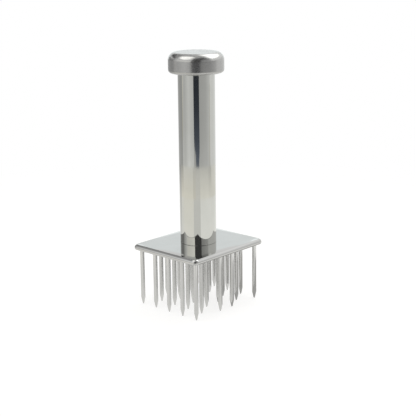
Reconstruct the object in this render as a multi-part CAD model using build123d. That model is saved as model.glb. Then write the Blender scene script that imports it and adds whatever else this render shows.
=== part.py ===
from build123d import *
import math
import os

# Needle tenderizer, all stainless steel, in millimetres.
# +Z runs up the handle. The origin is on the level of the needle tips, under the
# middle of the plate, so the tool stands on its needles at Z = 0. X runs along the
# plate's longer side and Y along its shorter side.

# ---- Whole tool ---------------------------------------------------------------
total_height = 175.0            # needle tips to the top of the cap

# ---- Plate --------------------------------------------------------------------
plate_length = 70.0             # along X
plate_width = 60.0              # along Y
plate_thickness = 4.0
plate_corner_radius = 4.0       # upright corners, seen from above
plate_upper_edge_radius = 2.3   # polished round along the top edge
plate_lower_edge_radius = 1.0   # smaller round along the bottom edge

# ---- Needles ------------------------------------------------------------------
needle_diameter = 3.0
needle_reach = 40.0             # plate underside to needle tip
needle_point_length = 5.0       # tip to the end of the cone
needle_tip_diameter = 0.8       # small flat that blunts the tip
needle_seat_clearance = 0.02    # needle to the wall of its hole, all round
needle_hole_cover = 1.6         # plate left above each blind hole
needle_margin_x = 5.1           # outer columns' axes to the plate's short edges
needle_margin_y = 4.5           # end needles' axes to the plate's long edges
needle_column_count = 6         # columns along X
needle_row_count = 5            # needles in a full column; a short one has one fewer

# ---- Handle tube --------------------------------------------------------------
tube_diameter = 25.0
tube_wall = 1.2
tube_edge_break = 0.25          # small chamfer round the foot of the tube

# ---- Plug in the tube's foot, and the stud that it screws down on -------------
plug_length = 12.0
plug_recess = 0.3               # plug face above the tube's foot
plug_edge_chamfer = 0.8         # lead for pressing the plug in
plug_fit_clearance = 0.02       # plug to tube bore, all round
stud_diameter = 8.0
stud_thread_clearance = 0.05    # stud to the plug's tapped hole, all round
stud_seat_depth = 1.2           # blind seat in the top of the plate
stud_seat_clearance = 0.02
stud_end_gap = 1.0              # stud stops short of the plug's upper face
stud_end_chamfer = 0.8

# ---- Cap: two pressed shells that meet edge to edge ---------------------------
cap_overhang = 6.3              # cap rim beyond the tube, all round
cap_height = 13.7
cap_wall = 1.2
cap_upper_edge_radius = 5.0
cap_lower_edge_radius = 2.2
cap_flat_ring = 0.5             # least flat left under the cap, round the neck's mouth
neck_height = 4.0               # collar turned up inside, round the tube
neck_mouth_chamfer = 0.8        # from the cap's underside into the neck
neck_clearance = 0.05           # tube to collar, all round

# ---- Levels and radii that follow ---------------------------------------------
plate_bottom_z = needle_reach
plate_top_z = plate_bottom_z + plate_thickness
cap_bottom_z = total_height - cap_height
tube_top_z = cap_bottom_z + neck_height
needle_radius = needle_diameter / 2
needle_hole_top_z = plate_top_z - needle_hole_cover
tube_radius = tube_diameter / 2
tube_bore_radius = tube_radius - tube_wall
stud_radius = stud_diameter / 2
stud_seat_z = plate_top_z - stud_seat_depth
plug_bottom_z = plate_top_z + plug_recess
plug_top_z = plug_bottom_z + plug_length
cap_radius = tube_radius + cap_overhang
neck_radius = tube_radius + neck_clearance
# The lower rounding ends before the flat ring round the neck's mouth.
cap_lower_room = cap_radius - neck_radius - neck_mouth_chamfer - cap_flat_ring
cap_lower_round = min(cap_lower_edge_radius, cap_lower_room)
# The two shells meet in the middle of the straight part of the cap's side.
cap_seam_z = (cap_bottom_z + cap_lower_round + total_height - cap_upper_edge_radius) / 2


def spin(outline):
    """Revolve a closed outline, drawn as radius and height, round the Z axis."""
    return revolve(Plane.XZ * make_face(outline), Axis.Z)


def inner_corner(outer_radius):
    """Size of the 45 degree corner inside a rounded shell edge that keeps the full wall."""
    return (outer_radius - cap_wall) * (2 - math.sqrt(2))


def needle_places():
    """Needle axes in columns along X; the second column from each edge is a short one."""
    span_x = plate_length - 2 * needle_margin_x
    span_y = plate_width - 2 * needle_margin_y
    pitch_x = span_x / (needle_column_count - 1)
    pitch_y = span_y / (needle_row_count - 1)
    short_columns = (1, needle_column_count - 2)
    places = []
    for column in range(needle_column_count):
        rows = needle_row_count - 1 if column in short_columns else needle_row_count
        x = -span_x / 2 + column * pitch_x
        for row in range(rows):
            places.append((x, (row - (rows - 1) / 2) * pitch_y))
    return places


def make_needle():
    """Round wire with a long conical point and a blunted tip, standing on Z = 0."""
    outline = Polyline(
        (0, 0),
        (needle_tip_diameter / 2, 0),
        (needle_radius, needle_point_length),
        (needle_radius, needle_hole_top_z),
        (0, needle_hole_top_z),
        close=True,
    )
    return spin(outline)


def make_head_plate(places):
    """Polished plate with a blind hole below for each needle and a stud seat above."""
    outline = RectangleRounded(plate_length, plate_width, plate_corner_radius)
    plate = extrude(Pos(0, 0, plate_bottom_z) * outline, plate_thickness)
    plate = fillet(plate.faces().sort_by(Axis.Z)[-1].edges(), plate_upper_edge_radius)
    plate = fillet(plate.faces().sort_by(Axis.Z)[0].edges(), plate_lower_edge_radius)
    hole_depth = needle_hole_top_z - plate_bottom_z
    hole = Cylinder(
        needle_radius + needle_seat_clearance,
        hole_depth,
        align=(Align.CENTER, Align.CENTER, Align.MIN),
    )
    plate -= [Pos(x, y, plate_bottom_z) * hole for x, y in places]
    seat = Cylinder(
        stud_radius + stud_seat_clearance,
        stud_seat_depth,
        align=(Align.CENTER, Align.CENTER, Align.MIN),
    )
    return plate - Pos(0, 0, stud_seat_z) * seat


def make_plate_stud():
    """Stud that stands in the plate's seat and carries the handle."""
    top_z = plug_top_z - stud_end_gap
    outline = Polyline(
        (0, stud_seat_z),
        (stud_radius, stud_seat_z),
        (stud_radius, top_z - stud_end_chamfer),
        (stud_radius - stud_end_chamfer, top_z),
        (0, top_z),
        close=True,
    )
    return spin(outline)


def make_foot_plug():
    """Turned plug fixed in the tube's foot, tapped through for the stud."""
    outer = tube_bore_radius - plug_fit_clearance
    bore = stud_radius + stud_thread_clearance
    outline = Polyline(
        (bore, plug_bottom_z),
        (outer, plug_bottom_z),
        (outer, plug_top_z - plug_edge_chamfer),
        (outer - plug_edge_chamfer, plug_top_z),
        (bore, plug_top_z),
        close=True,
    )
    return spin(outline)


def make_handle_tube():
    """Handle tube from the plate up through the neck of the cap."""
    outline = Polyline(
        (tube_bore_radius, plate_top_z),
        (tube_radius - tube_edge_break, plate_top_z),
        (tube_radius, plate_top_z + tube_edge_break),
        (tube_radius, tube_top_z),
        (tube_bore_radius, tube_top_z),
        close=True,
    )
    return spin(outline)


def make_cap_base():
    """Lower shell: rounded rim outside, collar turned up round the tube inside."""
    rim_centre = (cap_radius - cap_lower_round, cap_bottom_z + cap_lower_round)
    rim = CenterArc(rim_centre, cap_lower_round, -90, 90)
    inner_radius = cap_radius - cap_wall
    inner_z = cap_bottom_z + cap_wall
    corner = inner_corner(cap_lower_round)
    rest = Polyline(
        rim @ 1,
        (cap_radius, cap_seam_z),
        (inner_radius, cap_seam_z),
        (inner_radius, inner_z + corner),
        (inner_radius - corner, inner_z),
        (neck_radius + cap_wall, inner_z),
        (neck_radius + cap_wall, tube_top_z),
        (neck_radius, tube_top_z),
        (neck_radius, cap_bottom_z + neck_mouth_chamfer),
        (neck_radius + neck_mouth_chamfer, cap_bottom_z),
        rim @ 0,
    )
    return spin(rim + rest)


def make_cap_crown():
    """Upper shell: flat palm face and rounded edge, open below."""
    edge_centre = (cap_radius - cap_upper_edge_radius, total_height - cap_upper_edge_radius)
    edge = CenterArc(edge_centre, cap_upper_edge_radius, 0, 90)
    inner_radius = cap_radius - cap_wall
    inner_z = total_height - cap_wall
    corner = inner_corner(cap_upper_edge_radius)
    rest = Polyline(
        edge @ 1,
        (0, total_height),
        (0, inner_z),
        (inner_radius - corner, inner_z),
        (inner_radius, inner_z - corner),
        (inner_radius, cap_seam_z),
        (cap_radius, cap_seam_z),
        edge @ 0,
    )
    return spin(edge + rest)


def build_parts():
    """Every piece by its name, each in its place on the tool."""
    places = needle_places()
    parts = {
        "head_plate": make_head_plate(places),
        "plate_stud": make_plate_stud(),
        "foot_plug": make_foot_plug(),
        "handle_tube": make_handle_tube(),
        "cap_base": make_cap_base(),
        "cap_crown": make_cap_crown(),
    }
    needle = make_needle()
    for number, (x, y) in enumerate(places, start=1):
        parts[f"needle_{number:02d}"] = Pos(x, y, 0) * needle
    return parts


os.makedirs("parts", exist_ok=True)
for name, part in build_parts().items():
    part.label = name
    export_step(part, f"parts/{name}.step")
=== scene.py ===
import math

import bpy
from mathutils import Matrix, Vector
from mathutils.geometry import tessellate_polygon


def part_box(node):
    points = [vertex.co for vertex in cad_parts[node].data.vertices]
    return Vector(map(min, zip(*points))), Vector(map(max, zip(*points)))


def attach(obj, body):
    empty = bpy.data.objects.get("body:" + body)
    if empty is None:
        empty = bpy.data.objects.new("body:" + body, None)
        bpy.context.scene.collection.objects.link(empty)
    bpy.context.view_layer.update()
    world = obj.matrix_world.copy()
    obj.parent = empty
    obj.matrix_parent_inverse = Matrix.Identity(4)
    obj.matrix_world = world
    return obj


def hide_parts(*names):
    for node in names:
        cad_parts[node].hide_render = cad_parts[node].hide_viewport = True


# Needle tenderizer, all stainless steel, standing on its needles. Everything is in
# metres in the CAD frame. Sizes come from the CAD nodes' boxes; those that a box
# doesn't give are named here, as real sizes.
MM = 0.001
MICRON = 1e-6

# ---- Camera, as in the photograph ------------------------------------------------
VIEW_AZIMUTH = -47.244          # degrees; 0 looks along +Y
VIEW_ELEVATION = 14.847         # degrees above the horizon
VIEW_ROLL = -0.60               # degrees
VIEW_DISTANCE = 0.74056
VIEW_AIM_RIGHT = 0.00690        # aim point to the right of the handle's axis
VIEW_AIM_HEIGHT = 0.06751
LENS = 92.88                    # millimetres
SENSOR = 36.0                   # millimetres
CLIP_START = 0.01
CLIP_END = 20

# ---- Edges and fits --------------------------------------------------------------
PLATE_CORNER_RADIUS = 4.0 * MM
PLATE_UPPER_EDGE = 2.3 * MM
PLATE_LOWER_EDGE = 1.0 * MM
ROLL_OFF_WIDTH = 5.5 * MM       # of the plate's top, worn down by polishing, inside its edge
ROLL_OFF_SLOPE = 12.0           # degrees, where it meets the edge
ROLL_OFF_CORNER = 5.0 * MM      # corner radius of the flat left inside
HOLE_CLEARANCE = 0.02 * MM
TUBE_WALL = 1.2 * MM
TUBE_EDGE = 0.25 * MM
CAP_WALL = 1.2 * MM
CAP_UPPER_EDGE = 5.0 * MM
CAP_LOWER_EDGE = 2.2 * MM
NECK_CLEARANCE = 0.05 * MM
NECK_MOUTH = 0.8 * MM
COLLAR_BEND = 0.4 * MM
NEEDLE_POINT_LENGTH = 5.0 * MM
NEEDLE_TIP_RADIUS = 0.4 * MM
NEEDLE_TIP_ROUND = 0.25 * MM
NEEDLE_SHOULDER_ROUND = 6.0 * MM

# ---- Fineness of the meshes ------------------------------------------------------
BARREL_SIDES = 192              # round the tube and the cap
NEEDLE_SIDES = 40
CORNER_STEPS = 10               # round each upright corner of the plate
EDGE_STEPS = 10                 # round each edge, seen in section
ROLL_OFF_STEPS = 12             # across the plate's roll-off
SAME_POINT = 1e-9               # points of a profile closer than this are one

# ---- Scale of the marks on the steel ---------------------------------------------
MARK_SCALE = 9000               # fine marks, so many to a metre across the grain
MARK_DETAIL = 3.0
DRAWN_STRETCH = 0.02            # a mark's width in its length, along handle and needles
FLAT_STRETCH = 0.03             # the same, along the plate's shorter side
TURNED_RADIAN = 0.6 * MM        # what a radian of turn counts for, round the axis
SMUDGE_SCALE = 70
SMUDGE_DETAIL = 4.0
SMUDGE_TWIST = 0.6
SMUDGE_RANGE = (0.35, 0.75)     # noise that goes from clean to stained
MARK_SHARE = 0.45               # marks' part in the roughness; smudges have the rest
WEAR_RANGE = (0.35, 0.65)       # noise that goes from smooth to rough
WAVE_SCALE = 45                 # slow waves of a face that is polished by hand
WAVE_DETAIL = 1.0

UP = Vector((0, 0, 1))
DOWN = Vector((0, 0, -1))


class Skin:
    """Points and faces of one piece, each face corner with the surface's true normal."""

    def __init__(self):
        self.points = []
        self.faces = []
        self.normals = []

    def ring(self, points):
        """Add the points of a closed ring; return their numbers."""
        first = len(self.points)
        self.points += points
        return range(first, len(self.points))

    def band(self, low, low_normals, high, high_normals):
        """Faces between two closed rings that have as many points."""
        for i in range(len(low)):
            j = (i + 1) % len(low)
            self.faces.append((low[i], low[j], high[j], high[i]))
            self.normals += [low_normals[i], low_normals[j], high_normals[j], high_normals[i]]

    def level(self, normal, outline, holes=()):
        """Level face inside one ring, less the rings of its holes."""
        rings = [outline, *holes]
        corners = [index for ring in rings for index in ring]
        for triangle in tessellate_polygon([[self.points[i] for i in ring] for ring in rings]):
            a, b, c = (corners[k] for k in triangle)
            turn = (self.points[b] - self.points[a]).cross(self.points[c] - self.points[a])
            self.faces.append((a, b, c) if turn.dot(normal) > 0 else (a, c, b))
            self.normals += [normal] * 3

    def blend(self, outer, inner, width, steps, slope):
        """Skin that rises in a soft curve from an outer ring to a flat inner one.

        Its slope falls off with the square of the way that is left, and so its drop
        below the inner ring with the cube.
        """
        outer_points = [self.points[i] for i in outer]
        inner_points = [self.points[i] for i in inner]
        ways = [(a - b).normalized() for a, b in zip(outer_points, inner_points)]
        ring = outer
        tilt = math.tan(math.radians(slope))
        for step in range(steps):
            share, next_share = step / steps, (step + 1) / steps
            if step + 1 < steps:
                drop = tilt * width / 3 * (1 - next_share) ** 3
                next_ring = self.ring([
                    Vector((*a.lerp(b, next_share).xy, b.z - drop))
                    for a, b in zip(outer_points, inner_points)
                ])
            else:
                next_ring = inner
            normals, next_normals = (
                [Vector((*way.xy * tilt * (1 - s) ** 2, 1)).normalized() for way in ways]
                for s in (share, next_share)
            )
            self.band(ring, normals, next_ring, next_normals)
            ring = next_ring

    def sweep(self, stations, runs):
        """Carry a profile round the stations; return its first and last rings."""
        rings = []

        def ring_at(point):
            for known, ring in rings:
                if math.dist(known, point) < SAME_POINT:
                    return ring
            ring = self.ring([
                Vector((centre.x + point[0] * way.x, centre.y + point[0] * way.y, point[1]))
                for centre, way in stations
            ])
            rings.append((point, ring))
            return ring

        def turned(normal):
            return [way * normal[0] + UP * normal[1] for _, way in stations]

        for run in runs:
            for (low, low_normal), (high, high_normal) in zip(run, run[1:]):
                self.band(ring_at(low), turned(low_normal), ring_at(high), turned(high_normal))
        return ring_at(runs[0][0][0]), ring_at(runs[-1][-1][0])


# A profile is drawn as (distance outward, height), anticlockwise, so that its skin
# faces away from the metal. Each stretch is a list of (point, normal).

def line(start, end):
    """Straight stretch of a profile."""
    length = math.dist(start, end)
    normal = ((end[1] - start[1]) / length, (start[0] - end[0]) / length)
    return [(start, normal), (end, normal)]


def arc(centre, radius, first, last):
    """Round stretch; its angles are degrees from outward towards up. Clockwise is hollow."""
    side = 1 if last > first else -1
    stretch = []
    for step in range(EDGE_STEPS + 1):
        angle = math.radians(first + (last - first) * step / EDGE_STEPS)
        spoke = (math.cos(angle), math.sin(angle))
        point = (centre[0] + radius * spoke[0], centre[1] + radius * spoke[1])
        stretch.append((point, (side * spoke[0], side * spoke[1])))
    return stretch


def round_stations(x, y, sides):
    """Stations of a turned piece about an upright axis."""
    centre = Vector((x, y, 0))
    turns = [2 * math.pi * side / sides for side in range(sides)]
    return [(centre, Vector((math.cos(turn), math.sin(turn), 0))) for turn in turns]


def corner_stations(low, high, radius):
    """Stations round a rectangle with rounded corners."""
    left, right = low.x + radius, high.x - radius
    front, back = low.y + radius, high.y - radius
    stations = []
    for quarter, centre in enumerate(((right, back), (left, back), (left, front), (right, front))):
        for step in range(CORNER_STEPS + 1):
            turn = math.pi / 2 * (quarter + step / CORNER_STEPS)
            stations.append((Vector((*centre, 0)), Vector((math.cos(turn), math.sin(turn), 0))))
    return stations


# ---- Materials -------------------------------------------------------------------

class Tree:
    """Short way to write a node tree."""

    def __init__(self, owner):
        owner.use_nodes = True
        self.tree = owner.node_tree
        self.tree.nodes.clear()

    def add(self, kind, inputs=None, **settings):
        """New node; an input is given a value or the socket that feeds it."""
        node = self.tree.nodes.new(kind)
        for name, value in settings.items():
            setattr(node, name, value)
        for name, value in (inputs or {}).items():
            if isinstance(value, bpy.types.NodeSocket):
                self.tree.links.new(value, node.inputs[name])
            else:
                node.inputs[name].default_value = value
        return node

    def math(self, operation, first, second=0.0):
        """Result of an operation on one or two values."""
        return self.add("ShaderNodeMath", {0: first, 1: second}, operation=operation).outputs[0]

    def noise(self, vector, scale, detail, distortion=0.0):
        """Noise from 0 to 1."""
        return self.add("ShaderNodeTexNoise", {
            "Vector": vector,
            "Scale": scale,
            "Detail": detail,
            "Distortion": distortion,
        }).outputs["Fac"]

    def span(self, value, from_range, to_range):
        """Value carried over from one range to another."""
        return self.add("ShaderNodeMapRange", {
            "Value": value,
            "From Min": from_range[0],
            "From Max": from_range[1],
            "To Min": to_range[0],
            "To Max": to_range[1],
        }).outputs["Result"]


def drawn_grain(tree):
    """Coordinates for marks that run along the handle and the needles."""
    place = tree.add("ShaderNodeTexCoord").outputs["Object"]
    return tree.add("ShaderNodeMapping", {"Vector": place, "Scale": (1, 1, DRAWN_STRETCH)}).outputs[0]


def turned_grain(tree):
    """Coordinates for marks that run round the handle's axis, on its side and on its end."""
    place = tree.add("ShaderNodeTexCoord").outputs["Object"]
    parts = tree.add("ShaderNodeSeparateXYZ", {"Vector": place}).outputs
    x_squared = tree.math("MULTIPLY", parts["X"], parts["X"])
    y_squared = tree.math("MULTIPLY", parts["Y"], parts["Y"])
    outward = tree.math("SQRT", tree.math("ADD", x_squared, y_squared))
    turn = tree.math("ARCTAN2", parts["Y"], parts["X"])
    round_axis = tree.math("MULTIPLY", turn, TURNED_RADIAN)
    return tree.add("ShaderNodeCombineXYZ", {
        "X": outward,
        "Y": parts["Z"],
        "Z": round_axis,
    }).outputs[0]


def flat_grain(tree):
    """Coordinates for marks that run along the plate's shorter side."""
    place = tree.add("ShaderNodeTexCoord").outputs["Object"]
    return tree.add("ShaderNodeMapping", {"Vector": place, "Scale": (1, FLAT_STRETCH, 1)}).outputs[0]


def steel(name, colour, stain, roughness, grain, grain_depth, wave_depth):
    """Stainless steel: fine marks along the grain, faint smudges and a slightly wavy face."""
    material = bpy.data.materials.new(name)
    tree = Tree(material)
    place = tree.add("ShaderNodeTexCoord").outputs["Object"]
    marks = tree.noise(grain(tree), MARK_SCALE, MARK_DETAIL)
    smudges = tree.noise(place, SMUDGE_SCALE, SMUDGE_DETAIL, SMUDGE_TWIST)
    wear_of_marks = tree.math("MULTIPLY", marks, MARK_SHARE)
    wear_of_smudges = tree.math("MULTIPLY", smudges, 1 - MARK_SHARE)
    worn = tree.math("ADD", wear_of_marks, wear_of_smudges)
    tint = tree.add("ShaderNodeMix", {
        "Factor": tree.span(smudges, SMUDGE_RANGE, (0.0, 1.0)),
        "A": (*colour, 1),
        "B": (*stain, 1),
    }, data_type="RGBA")
    wave = tree.add("ShaderNodeBump", {
        "Height": tree.noise(place, WAVE_SCALE, WAVE_DETAIL),
        "Distance": wave_depth,
        "Strength": 1.0,
    }).outputs[0]
    scratch = tree.add("ShaderNodeBump", {
        "Height": marks,
        "Distance": grain_depth,
        "Strength": 1.0,
        "Normal": wave,
    }).outputs[0]
    shader = tree.add("ShaderNodeBsdfPrincipled", {
        "Base Color": tint.outputs["Result"],
        "Metallic": 1.0,
        "Roughness": tree.span(worn, WEAR_RANGE, roughness),
        "Normal": scratch,
    })
    tree.add("ShaderNodeOutputMaterial", {"Surface": shader.outputs[0]})
    return material


polished_tube = steel(
    "polished_tube",
    colour=(0.56, 0.565, 0.535),
    stain=(0.53, 0.535, 0.505),
    roughness=(0.03, 0.06),
    grain=drawn_grain,
    grain_depth=0.1 * MICRON,
    wave_depth=2.0 * MICRON,
)
polished_plate = steel(
    "polished_plate",
    colour=(0.515, 0.515, 0.505),
    stain=(0.485, 0.485, 0.475),
    roughness=(0.03, 0.07),
    grain=flat_grain,
    grain_depth=0.1 * MICRON,
    wave_depth=1.5 * MICRON,
)
satin_cap = steel(
    "satin_cap",
    colour=(0.43, 0.43, 0.42),
    stain=(0.405, 0.405, 0.395),
    roughness=(0.20, 0.26),
    grain=turned_grain,
    grain_depth=0.4 * MICRON,
    wave_depth=1.0 * MICRON,
)
needle_steel = steel(
    "needle_steel",
    colour=(0.60, 0.60, 0.59),
    stain=(0.55, 0.55, 0.54),
    roughness=(0.10, 0.16),
    grain=drawn_grain,
    grain_depth=0.5 * MICRON,
    wave_depth=0.3 * MICRON,
)
machined_steel = steel(
    "machined_steel",
    colour=(0.56, 0.56, 0.56),
    stain=(0.50, 0.50, 0.50),
    roughness=(0.30, 0.42),
    grain=turned_grain,
    grain_depth=2.0 * MICRON,
    wave_depth=1.0 * MICRON,
)


# ---- Pieces ----------------------------------------------------------------------

def add_piece(name, skin, material, node):
    """Put one piece in the scene in place of its CAD node."""
    mesh = bpy.data.meshes.new(name)
    mesh.from_pydata(skin.points, [], skin.faces)
    mesh.shade_smooth()
    mesh.normals_split_custom_set(skin.normals)
    mesh.materials.append(material)
    piece = bpy.data.objects.new(name, mesh)
    bpy.context.scene.collection.objects.link(piece)
    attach(piece, "root")
    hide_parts(node)


def bore(skin, stations, radius, mouth_z, end_z):
    """Blind hole from its mouth to its end; return the ring of its mouth."""
    if end_z > mouth_z:
        end, mouth = skin.sweep(stations, [line((radius, end_z), (radius, mouth_z))])
        skin.level(DOWN, end)
    else:
        mouth, end = skin.sweep(stations, [line((radius, mouth_z), (radius, end_z))])
        skin.level(UP, end)
    return mouth


def plate_sides(skin, low, high):
    """Sides, edges and roll-off of the plate; return the rings left open below and above."""
    side = PLATE_CORNER_RADIUS
    drop = math.tan(math.radians(ROLL_OFF_SLOPE)) * ROLL_OFF_WIDTH / 3
    edge_z = high.z - drop - PLATE_UPPER_EDGE * math.cos(math.radians(ROLL_OFF_SLOPE))
    edge_arc = arc((side - PLATE_UPPER_EDGE, edge_z), PLATE_UPPER_EDGE, 0, 90 - ROLL_OFF_SLOPE)
    bottom_ring, edge_ring = skin.sweep(corner_stations(low, high, side), [
        arc((side - PLATE_LOWER_EDGE, low.z + PLATE_LOWER_EDGE), PLATE_LOWER_EDGE, -90, 0),
        line((side, low.z + PLATE_LOWER_EDGE), (side, edge_z)),
        edge_arc,
    ])
    inset = Vector((1, 1, 0)) * (side - edge_arc[-1][0][0] + ROLL_OFF_WIDTH)
    top_ring = skin.ring([
        centre + way * ROLL_OFF_CORNER + UP * high.z
        for centre, way in corner_stations(low + inset, high - inset, ROLL_OFF_CORNER)
    ])
    skin.blend(edge_ring, top_ring, ROLL_OFF_WIDTH, ROLL_OFF_STEPS, ROLL_OFF_SLOPE)
    return bottom_ring, top_ring


def make_plate(needle_names):
    """Polished plate with rounded edges, blind needle holes and the stud's seat."""
    low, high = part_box("head_plate")
    stud_low, stud_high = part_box("plate_stud")
    skin = Skin()
    bottom_ring, top_ring = plate_sides(skin, low, high)
    mouths = []
    for needle in needle_names:
        needle_low, needle_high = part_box(needle)
        axis = (needle_low + needle_high) / 2
        radius = (needle_high.x - needle_low.x) / 2 + HOLE_CLEARANCE
        stations = round_stations(axis.x, axis.y, NEEDLE_SIDES)
        mouths.append(bore(skin, stations, radius, low.z, needle_high.z))
    skin.level(DOWN, bottom_ring, mouths)
    seat_radius = (stud_high.x - stud_low.x) / 2 + HOLE_CLEARANCE
    seat = bore(skin, round_stations(0, 0, NEEDLE_SIDES), seat_radius, high.z, stud_low.z)
    skin.level(UP, top_ring, [seat])
    add_piece("mirror_plate", skin, polished_plate, "head_plate")


def make_tube():
    """Polished tube, open at both ends."""
    low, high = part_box("handle_tube")
    outer = (high.x - low.x) / 2
    inner = outer - TUBE_WALL
    skin = Skin()
    skin.sweep(round_stations(0, 0, BARREL_SIDES), [
        line((inner, low.z), (outer - TUBE_EDGE, low.z)),
        arc((outer - TUBE_EDGE, low.z + TUBE_EDGE), TUBE_EDGE, -90, 0),
        line((outer, low.z + TUBE_EDGE), (outer, high.z)),
        line((outer, high.z), (inner, high.z)),
        line((inner, high.z), (inner, low.z)),
    ])
    add_piece("mirror_tube", skin, polished_tube, "handle_tube")


def make_cap_base():
    """Lower shell of the cap, with its collar turned up round the tube."""
    low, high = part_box("cap_base")
    tube_low, tube_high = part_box("handle_tube")
    outer = (high.x - low.x) / 2
    inner = outer - CAP_WALL
    seam_z = high.z
    floor_z = low.z + CAP_WALL
    neck = (tube_high.x - tube_low.x) / 2 + NECK_CLEARANCE
    collar = neck + CAP_WALL
    collar_top_z = tube_high.z
    rim = (outer - CAP_LOWER_EDGE, low.z + CAP_LOWER_EDGE)
    mouth = (neck + NECK_MOUTH, low.z + NECK_MOUTH)
    bend = (collar + COLLAR_BEND, floor_z + COLLAR_BEND)
    skin = Skin()
    skin.sweep(round_stations(0, 0, BARREL_SIDES), [
        line((mouth[0], low.z), (rim[0], low.z)),
        arc(rim, CAP_LOWER_EDGE, -90, 0),
        line((outer, rim[1]), (outer, seam_z)),
        line((outer, seam_z), (inner, seam_z)),
        line((inner, seam_z), (inner, rim[1])),
        arc(rim, CAP_LOWER_EDGE - CAP_WALL, 0, -90),
        line((rim[0], floor_z), (bend[0], floor_z)),
        arc(bend, COLLAR_BEND, 270, 180),
        line((collar, bend[1]), (collar, collar_top_z)),
        line((collar, collar_top_z), (neck, collar_top_z)),
        line((neck, collar_top_z), (neck, mouth[1])),
        arc(mouth, NECK_MOUTH, 180, 270),
    ])
    add_piece("cap_lower_shell", skin, satin_cap, "cap_base")


def make_cap_crown():
    """Upper shell of the cap, with the flat palm face."""
    low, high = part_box("cap_crown")
    outer = (high.x - low.x) / 2
    inner = outer - CAP_WALL
    edge = (outer - CAP_UPPER_EDGE, high.z - CAP_UPPER_EDGE)
    skin = Skin()
    under_ring, palm_ring = skin.sweep(round_stations(0, 0, BARREL_SIDES), [
        arc(edge, CAP_UPPER_EDGE - CAP_WALL, 90, 0),
        line((inner, edge[1]), (inner, low.z)),
        line((inner, low.z), (outer, low.z)),
        line((outer, low.z), (outer, edge[1])),
        arc(edge, CAP_UPPER_EDGE, 0, 90),
    ])
    skin.level(DOWN, under_ring)
    skin.level(UP, palm_ring)
    add_piece("cap_upper_shell", skin, satin_cap, "cap_crown")


def make_needle(node, name):
    """Needle with a long conical point, its tip and shoulder softened by polishing."""
    low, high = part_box(node)
    axis = (low + high) / 2
    radius = (high.x - low.x) / 2
    taper = math.atan2(radius - NEEDLE_TIP_RADIUS, NEEDLE_POINT_LENGTH)
    slope, rise = math.sin(taper), math.cos(taper)
    # Arcs that touch the cone's side: one with the tip's flat, one with the shaft.
    tip_centre = NEEDLE_TIP_RADIUS - NEEDLE_TIP_ROUND * (1 - slope) / rise
    shoulder_z = (
        (radius - NEEDLE_TIP_RADIUS - NEEDLE_SHOULDER_ROUND) * rise + NEEDLE_SHOULDER_ROUND
    ) / slope
    side_angle = -math.degrees(taper)
    tip = arc((tip_centre, low.z + NEEDLE_TIP_ROUND), NEEDLE_TIP_ROUND, -90, side_angle)
    shoulder_centre = (radius - NEEDLE_SHOULDER_ROUND, low.z + shoulder_z)
    shoulder = arc(shoulder_centre, NEEDLE_SHOULDER_ROUND, side_angle, 0)
    skin = Skin()
    tip_ring, top_ring = skin.sweep(round_stations(axis.x, axis.y, NEEDLE_SIDES), [
        tip,
        line(tip[-1][0], shoulder[0][0]),
        shoulder,
        line(shoulder[-1][0], (radius, high.z)),
    ])
    skin.level(DOWN, tip_ring)
    skin.level(UP, top_ring)
    add_piece(name, skin, needle_steel, node)


def dress_hidden_nodes(nodes):
    """Material for the CAD pieces that stay as they are inside the handle."""
    for name in ("foot_plug", "plate_stud"):
        nodes[name].data.materials.clear()
        nodes[name].data.materials.append(machined_steel)


# ---- Camera ----------------------------------------------------------------------

def view_axes():
    """Unit vectors of the photograph's view, without its roll: right, up, back."""
    azimuth, elevation = math.radians(VIEW_AZIMUTH), math.radians(VIEW_ELEVATION)
    back = Vector((
        math.sin(azimuth) * math.cos(elevation),
        -math.cos(azimuth) * math.cos(elevation),
        math.sin(elevation),
    ))
    right = (-back).cross(UP).normalized()
    return right, right.cross(-back), back


def add_camera():
    """Camera of the photograph."""
    right, up, back = view_axes()
    roll = math.radians(VIEW_ROLL)
    rolled_right = right * math.cos(roll) + up * math.sin(roll)
    rolled_up = up * math.cos(roll) - right * math.sin(roll)
    camera = bpy.data.objects.new("camera", bpy.data.cameras.new("camera"))
    bpy.context.scene.collection.objects.link(camera)
    camera.data.lens = LENS
    camera.data.sensor_width = SENSOR
    camera.data.clip_start = CLIP_START
    camera.data.clip_end = CLIP_END
    place = right * VIEW_AIM_RIGHT + UP * VIEW_AIM_HEIGHT + back * VIEW_DISTANCE
    turn = Matrix((rolled_right, rolled_up, back)).transposed()
    camera.matrix_world = Matrix.Translation(place) @ turn.to_4x4()
    bpy.context.scene.camera = camera


# ---- Studio ----------------------------------------------------------------------
# Azimuths here are degrees to the right of the photograph's camera, seen from the
# tool; elevations are degrees above the horizon. Levels are 1 for white.

WHITE = (1.0, 1.0, 1.0)
PEARL = (1.0, 0.995, 0.975)
LINEN = (1.0, 0.985, 0.945)
IVORY = (1.0, 0.975, 0.91)
CREAM = (1.0, 0.965, 0.875)
SKY = (0.955, 1.0, 1.005)
NAVY = (0.75, 0.86, 1.08)

DIFFUSE_LEVEL = 0.65            # of the world, as light on surfaces that aren't mirrors

FLOOR_RADIUS = 0.45
FLOOR_FADE_RADIUS = 0.35        # where the floor begins to fade out
FLOOR_COLOUR = (0.35, 0.35, 0.35)       # takes light and shadow
FLOOR_LIGHT = 0.78              # own light of the white floor
FLOOR_TINT = (1.0, 0.995, 0.985)

CARD_STEPS = 24
CARD_DISTANCE = 1.1
FLAG_DISTANCE = 1.08            # just before the walls
NEAR_DISTANCE = 0.3             # of the window close to the cap
CEILING_HEIGHT = 1.6
CEILING_RADIUS = 0.6
CEILING_LEVEL = 0.68

PAINTED_FLOOR_LIFT = 0.5 * MM           # painted light and shade of the floor, laid this far above it
NEAR_RADII = (0.01, 0.13)
MIDDLE_RADII = (0.13, 0.31)
FAR_RADII = (0.31, 0.45)

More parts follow.
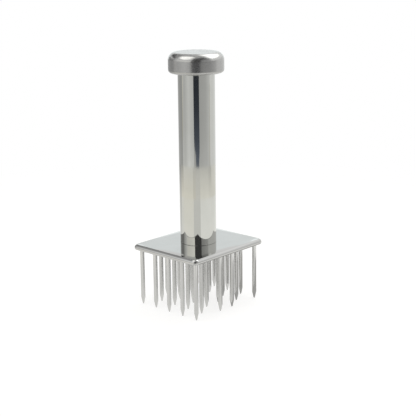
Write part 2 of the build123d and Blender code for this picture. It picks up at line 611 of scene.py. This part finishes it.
WALL_FOOT = -4.4                # elevation where the walls stand on their feet
LOW_WALL = (-13, WALL_FOOT)     # elevations of the feet
TUBE_WALL_TOP = 1               # about the highest elevation that the tube reflects
STRIPE_LEFT = -18.5             # azimuths that make the dark stripe down the tube
STRIPE_RIGHT = 15.5
STRIPE = (STRIPE_LEFT, STRIPE_RIGHT)
RIGHT_PANEL = (20, 66)          # azimuths of the grey panel right of the stripe

SOFT_BOX_AIM = Vector((0, 0, 0.17))     # inside the cap


def direction(azimuth):
    """Level unit vector at an azimuth from the camera."""
    turn = math.radians(VIEW_AZIMUTH + azimuth)
    return Vector((math.sin(turn), -math.cos(turn), 0))


def seen_white(tree):
    """1 for rays from the camera, mirrors or glass, which see the white background."""
    path = tree.add("ShaderNodeLightPath").outputs
    seen = tree.math("MAXIMUM", path["Is Camera Ray"], path["Is Glossy Ray"])
    return tree.math("MAXIMUM", seen, path["Is Transmission Ray"])


def add_world():
    """White background that lights what isn't a mirror at a lower level."""
    world = bpy.data.worlds.new("studio")
    bpy.context.scene.world = world
    tree = Tree(world)
    plain = tree.add("ShaderNodeBackground", {"Color": (*WHITE, 1), "Strength": DIFFUSE_LEVEL})
    white = tree.add("ShaderNodeBackground", {"Color": (*WHITE, 1), "Strength": 1.0})
    both = tree.add("ShaderNodeMixShader", {
        0: seen_white(tree),
        1: plain.outputs[0],
        2: white.outputs[0],
    })
    tree.add("ShaderNodeOutputWorld", {"Surface": both.outputs[0]})


def add_floor():
    """Round pale floor that fades out towards its rim."""
    skin = Skin()
    stations = round_stations(0, 0, BARREL_SIDES)
    ring = skin.ring([centre + way * FLOOR_RADIUS for centre, way in stations])
    skin.level(UP, ring)
    mesh = bpy.data.meshes.new("floor")
    mesh.from_pydata(skin.points, [], skin.faces)
    material = bpy.data.materials.new("pale_floor")
    mesh.materials.append(material)
    floor = bpy.data.objects.new("floor", mesh)
    bpy.context.scene.collection.objects.link(floor)
    tree = Tree(material)
    place = tree.add("ShaderNodeTexCoord").outputs["Object"]
    outward = tree.add("ShaderNodeVectorMath", {0: place}, operation="LENGTH").outputs["Value"]
    solid = tree.span(outward, (FLOOR_FADE_RADIUS, FLOOR_RADIUS), (1.0, 0.0))
    paper = tree.add("ShaderNodeBsdfDiffuse", {"Color": (*FLOOR_COLOUR, 1)})
    light = tree.add("ShaderNodeEmission", {"Color": (*FLOOR_TINT, 1), "Strength": FLOOR_LIGHT})
    lit = tree.add("ShaderNodeAddShader", {0: paper.outputs[0], 1: light.outputs[0]})
    clear = tree.add("ShaderNodeBsdfTransparent")
    both = tree.add("ShaderNodeMixShader", {0: solid, 1: clear.outputs[0], 2: lit.outputs[0]})
    tree.add("ShaderNodeOutputMaterial", {"Surface": both.outputs[0]})


def finish_card(name, points, faces, levels, colours):
    """Card that only the metal sees, with a level and a colour at each point."""
    mesh = bpy.data.meshes.new(name)
    mesh.from_pydata(points, [], faces)
    lights = [
        channel
        for level, colour in zip(levels, colours)
        for channel in (*(level * part for part in colour), 1.0)
    ]
    mesh.attributes.new("light", "FLOAT_COLOR", "POINT").data.foreach_set("color", lights)
    material = bpy.data.materials.new(name)
    mesh.materials.append(material)
    card = bpy.data.objects.new(name, mesh)
    bpy.context.scene.collection.objects.link(card)
    card.visible_camera = False
    card.visible_diffuse = False
    card.visible_shadow = False
    tree = Tree(material)
    colour = tree.add("ShaderNodeAttribute", attribute_name="light").outputs["Color"]
    light = tree.add("ShaderNodeEmission", {"Color": colour, "Strength": 1.0})
    tree.add("ShaderNodeOutputMaterial", {"Surface": light.outputs[0]})


def spread(ends):
    """Even values from the first end to the last, one for each point along a card."""
    first, last = ends
    return [first + (last - first) * step / CARD_STEPS for step in range(CARD_STEPS + 1)]


def card_row(azimuths, distance, height):
    """Points along one edge of a card."""
    return [direction(azimuth) * distance + UP * height for azimuth in spread(azimuths)]


def card_faces():
    """Faces between the two rows of a card."""
    row = CARD_STEPS + 1
    return [(i, i + 1, i + row + 1, i + row) for i in range(CARD_STEPS)]


def add_card(
    name, azimuths, elevations, levels, colour=WHITE, top_azimuths=None, distance=CARD_DISTANCE,
    low_levels=None,
):
    """Curved upright card.

    It has a level at its first and at its last azimuth. Its bottom edge may have levels
    of its own, and its top edge azimuths of its own.
    """
    low, high = (distance * math.tan(math.radians(elevation)) for elevation in elevations)
    points = card_row(azimuths, distance, low) + card_row(top_azimuths or azimuths, distance, high)
    point_levels = spread(low_levels or levels) + spread(levels)
    finish_card(name, points, card_faces(), point_levels, [colour] * len(points))


def add_front_flag(name, azimuths, elevations, low_level, top_level, top_azimuths=None):
    """Navy flag before the walls, one level along its bottom edge and one along its top."""
    add_card(
        name, azimuths, elevations, (top_level, top_level), NAVY, top_azimuths, FLAG_DISTANCE,
        (low_level, low_level),
    )


def add_painted_floor_patch(name, azimuths, radii, levels, colours):
    """Patch of painted light and shade on the floor, which only the metal sees, with a level and a
    colour for each of its two radii.
    """
    points, point_levels, point_colours = [], [], []
    for radius, level, colour in zip(radii, levels, colours):
        row = card_row(azimuths, radius, PAINTED_FLOOR_LIFT)
        points += row
        point_levels += [level] * len(row)
        point_colours += [colour] * len(row)
    finish_card(name, points, card_faces(), point_levels, point_colours)


def add_ceiling():
    """Level card over the tool."""
    points = [
        centre + way * CEILING_RADIUS + UP * CEILING_HEIGHT
        for centre, way in round_stations(0, 0, CARD_STEPS)
    ]
    levels, colours = [CEILING_LEVEL] * CARD_STEPS, [WHITE] * CARD_STEPS
    finish_card("ceiling", points, [range(CARD_STEPS)], levels, colours)


def add_soft_box(name, azimuth, elevation, distance, width, height, radiance, colour):
    """Oval soft box that faces the cap."""
    lamp = bpy.data.lights.new(name, "AREA")
    lamp.shape = "ELLIPSE"
    lamp.color = colour
    lamp.size = width
    lamp.size_y = height
    area = math.pi * width * height / 4
    lamp.energy = math.pi * area * radiance
    box = bpy.data.objects.new(name, lamp)
    bpy.context.scene.collection.objects.link(box)
    rise = math.radians(elevation)
    way = direction(azimuth) * math.cos(rise) + UP * math.sin(rise)
    box.location = SOFT_BOX_AIM + way * distance
    box.rotation_euler = way.to_track_quat("Z", "Y").to_euler()
    box.visible_camera = False


def add_painted_floor():
    """Painted light and shade of the floor as the metal sees it: white and ivory patches, most of
    them dimmer farther out where the floor fades into painted shade, and painted shade close to the
    tool on its right.
    """
    far, middle, near = FAR_RADII, MIDDLE_RADII, NEAR_RADII
    cream, ivory, pearl = (CREAM, LINEN), (IVORY, LINEN), (PEARL, PEARL)
    # painted shade: the far patches grow dimmer towards the floor's rim
    add_painted_floor_patch("far_painted_floor_left_back", (-160, -122), far, (0.76, 0.50), pearl)
    add_painted_floor_patch("far_painted_floor_left_side", (-122, -98), far, (1.04, 0.62), cream)
    add_painted_floor_patch("far_painted_floor_left", (-98, -28), far, (1.06, 0.90), cream)
    add_painted_floor_patch("far_painted_floor_left_front", (-28, -12), far, (0.91, 0.78), cream)
    add_painted_floor_patch("far_painted_floor_front", (-12, 16), far, (0.90, 0.80), (LINEN, LINEN))
    add_painted_floor_patch("far_painted_floor_right", (16, 72), far, (1.08, 0.80), ivory)
    add_painted_floor_patch("far_painted_floor_right_side", (72, 96), far, (1.03, 0.72), ivory)
    add_painted_floor_patch("far_painted_floor_right_back", (96, 150), far, (1.00, 0.98), ivory)
    add_painted_floor_patch("middle_painted_floor_left_back", (-160, -122), middle, (0.90, 0.76), (WHITE, PEARL))
    add_painted_floor_patch("middle_painted_floor_left_side", (-122, -98), middle, (1.04, 1.04), (PEARL, LINEN))
    add_painted_floor_patch("middle_painted_floor_left", (-98, -26), middle, (1.11, 1.06), (LINEN, IVORY))
    add_painted_floor_patch("middle_painted_floor_front", (-26, 16), middle, (0.86, 0.88), pearl)
    add_painted_floor_patch("middle_painted_floor_right", (16, 150), middle, (1.16, 1.08), pearl)
    add_painted_floor_patch("near_painted_floor_left", (-120, -25), near, (0.97, 0.97), pearl)
    add_painted_floor_patch("near_painted_floor_front", (-25, 52), near, (0.92, 0.92), pearl)
    # painted shade on the floor close to the tool, on its right
    add_painted_floor_patch("near_painted_floor_right", (52, 115), near, (0.54, 0.54), pearl)


def add_low_walls():
    """Feet of the walls; most of them grow lighter towards the floor."""
    add_card("foot_left_back", (-180, -101), LOW_WALL, (0.58, 0.44), low_levels=(0.60, 0.70))
    add_card("foot_left", (-101, -76), LOW_WALL, (0.69, 0.67), low_levels=(1.00, 0.97))
    add_card("foot_left_side", (-76, -52), LOW_WALL, (0.68, 0.85), low_levels=(0.99, 1.22))
    add_card("foot_left_front", (-52, STRIPE_LEFT), LOW_WALL, (0.85, 0.70), low_levels=(1.22, 1.05))
    add_card("foot_front", STRIPE, LOW_WALL, (0.52, 0.60))
    add_card("foot_right", (STRIPE_RIGHT, 57), LOW_WALL, (0.53, 0.60), low_levels=(0.80, 0.90))
    add_card("foot_right_side", (57, 90), LOW_WALL, (0.60, 0.80), low_levels=(0.80, 0.85))
    add_card("foot_right_back", (90, 180), LOW_WALL, (0.94, 0.96))


def add_walls():
    """White and grey walls round the tool."""
    add_card("wall_left_back", (-180, -101), (WALL_FOOT, 5), (0.58, 0.44))
    add_card("wall_left_back_high", (-148, -105), (5, 22), (0.40, 0.36))
    add_card("wall_left", (-101, -76), (WALL_FOOT, 8), (0.69, 0.67))
    add_card("wall_left_high", (-105, -76), (8, 22), (0.55, 1.20))
    add_card("wall_left_side", (-76, -52), (WALL_FOOT, 14), (0.68, 0.85))
    add_card("wall_left_front", (-52, -22), (WALL_FOOT, 14), (0.85, 0.72))
    add_card("wall_left_front_edge", (-22, STRIPE_LEFT), (WALL_FOOT, TUBE_WALL_TOP), (0.72, 0.70))
    add_card("wall_left_top", (-112, -92), (22, 52), (0.35, 0.80))
    add_card(
        "strip_left", (-105, -98), (-5, TUBE_WALL_TOP), (0.86, 0.86), CREAM,
        top_azimuths=(-95, -90), distance=FLAG_DISTANCE, low_levels=(0.55, 0.55),
    )
    add_card(
        "strip_right", (82, 86), (-7.5, 0), (0.68, 0.68), CREAM,
        top_azimuths=(87, 90), distance=FLAG_DISTANCE,
    )
    add_card("wall_right", (STRIPE_RIGHT, 57), (WALL_FOOT, TUBE_WALL_TOP), (0.53, 0.60))
    add_card("wall_right_low", RIGHT_PANEL, (1, 12), (0.25, 0.42))
    add_card("wall_right_high", RIGHT_PANEL, (12, 23), (0.48, 0.74))
    add_card("wall_right_higher", RIGHT_PANEL, (23, 34), (0.36, 0.55))
    add_card("wall_right_top", RIGHT_PANEL, (34, 52), (0.10, 0.55))
    add_card("wall_right_side", (57, 90), (WALL_FOOT, TUBE_WALL_TOP), (0.60, 0.80))
    add_card("wall_right_side_high", (66, 95), (1, 14), (0.45, 0.75))
    add_card("wall_right_back", (90, 180), (WALL_FOOT, 5), (0.94, 0.96))
    add_card("ceiling_front", (-60, 60), (52, 75), (0.56, 0.10))
    add_ceiling()


def add_windows():
    """Bright openings that the plate's top, the cap and the foot reflect."""
    add_card("window_left", (-76, -22), (14, 24), (1.32, 1.58), LINEN)
    add_card("window_right", (82, 150), (38, 50), (1.2, 1.25), distance=NEAR_DISTANCE)
    add_card("window_right_side", (70, 92), (28, 52), (1.20, 1.70))
    add_card("window_back", (155, 212), (15.5, 22), (1.10, 1.03), SKY)
    add_card("window_back_low", (155, 212), (5, 15.5), (1.35, 1.30), SKY)


def add_flags():
    """Dark flags, round the camera with a wall behind them, and behind the tool."""
    add_card("flag_back", (-190, -164), (36, 60), (0.80, 0.38))
    add_card("flag_left_back", (-164, -112), (29.5, 42.5), (0.07, 0.12))
    add_card("flag_left_back_high", (-160, -112), (42.5, 58), (0.42, 0.45))
    add_front_flag("flag_front_tip", (-7, 11), (-7.8, -6.5), 0.20, 0.20, (-8, 12.5))
    add_front_flag("flag_front_taper", (-5, 14), (-6.5, -5.9), 0.19, 0.155, (-14, 15))
    add_front_flag("flag_front_low", (-14, 15), (-5.9, -5.2), 0.155, 0.125, STRIPE)
    add_front_flag("flag_front", STRIPE, (-5.2, -2), 0.125, 0.062)
    add_front_flag("flag_front_high", STRIPE, (-2, TUBE_WALL_TOP), 0.062, 0.042)
    add_card("wall_front", STRIPE, (WALL_FOOT, TUBE_WALL_TOP), (0.55, 0.60))
    add_card("flag_cap", (-22, 20), (1, 24), (0.10, 0.10))
    add_card("flag_cap_high", (-20, 20), (24, 52), (0.10, 0.10), top_azimuths=(-14, 20))


def add_soft_boxes():
    """Two soft boxes over the cap, left and right of the camera."""
    add_soft_box(
        "soft_box_left", azimuth=-57, elevation=55, distance=0.2, width=0.168, height=0.168,
        radiance=1.65, colour=(1.0, 0.985, 0.955),
    )
    add_soft_box(
        "soft_box_right", azimuth=123, elevation=51, distance=0.17, width=0.238, height=0.134,
        radiance=1.75, colour=(1.0, 1.0, 0.985),
    )


def add_studio():
    """Everything round the tool."""
    add_world()
    add_floor()
    add_painted_floor()
    add_low_walls()
    add_walls()
    add_windows()
    add_flags()
    add_soft_boxes()


# ---- Everything together ---------------------------------------------------------


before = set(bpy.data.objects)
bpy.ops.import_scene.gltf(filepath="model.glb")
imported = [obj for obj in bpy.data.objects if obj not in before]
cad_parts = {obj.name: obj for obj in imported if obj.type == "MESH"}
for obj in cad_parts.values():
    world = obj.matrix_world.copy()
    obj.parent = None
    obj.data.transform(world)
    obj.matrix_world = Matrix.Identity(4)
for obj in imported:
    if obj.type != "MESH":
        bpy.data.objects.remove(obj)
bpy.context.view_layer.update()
bpy.context.scene.view_settings.view_transform = "Standard"
add_camera()
needle_nodes = sorted(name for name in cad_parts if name.startswith("needle_"))
make_plate(needle_nodes)
make_tube()
make_cap_base()
make_cap_crown()
for node in needle_nodes:
    make_needle(node, node.replace("needle_", "needle_wire_"))
dress_hidden_nodes(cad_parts)
add_studio()
